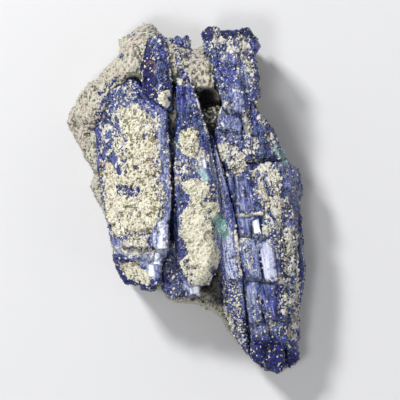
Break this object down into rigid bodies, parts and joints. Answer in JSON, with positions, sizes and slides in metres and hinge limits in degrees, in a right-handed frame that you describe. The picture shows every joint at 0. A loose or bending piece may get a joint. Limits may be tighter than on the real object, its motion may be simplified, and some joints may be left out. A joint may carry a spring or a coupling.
{
  "type": "azurite specimen",
  "caption": "Mineral specimen: deep blue azurite blades with stepped, striated fronts grown side by side on porous cream rock, with cream crusts and malachite; lies on its cut back.",
  "frame": {"origin": "middle of the specimen's outline, on the plane of the flat cut back that it rests on", "axes": "+X is the specimen's right, +Y its upper end, and +Z its crystal-covered front, which faces up"},
  "size_m": [0.086, 0.1269, 0.0464],
  "materials": {
    "host_rock": "porous, matt, granular",
    "azurite": "vitreous on clean faces, dusted elsewhere",
    "cream_crust": "matt, pitted, granular",
    "malachite": "silky, finely rounded"
  },
  "bodies": {
    "root": {"host_rock": "host_rock", "left_crystal": "azurite", "wedge_crystal": "azurite", "centre_crystal": "azurite", "narrow_blade": "azurite", "right_crystal_bundle": "azurite", "upper_right_crystals": "azurite", "top_edge_bud": "azurite", "crust_left_face": "cream_crust", "crust_left_foot": "cream_crust", "crust_wedge_tip": "cream_crust", "crust_centre_upper": "cream_crust", "crust_centre_lower": "cream_crust", "crust_narrow_blade": "cream_crust", "crust_right_upper": "cream_crust", "crust_right_column": "cream_crust", "crust_right_flank": "cream_crust", "malachite_patch": "malachite", "malachite_knob": "malachite"}
  },
  "joints": []
}
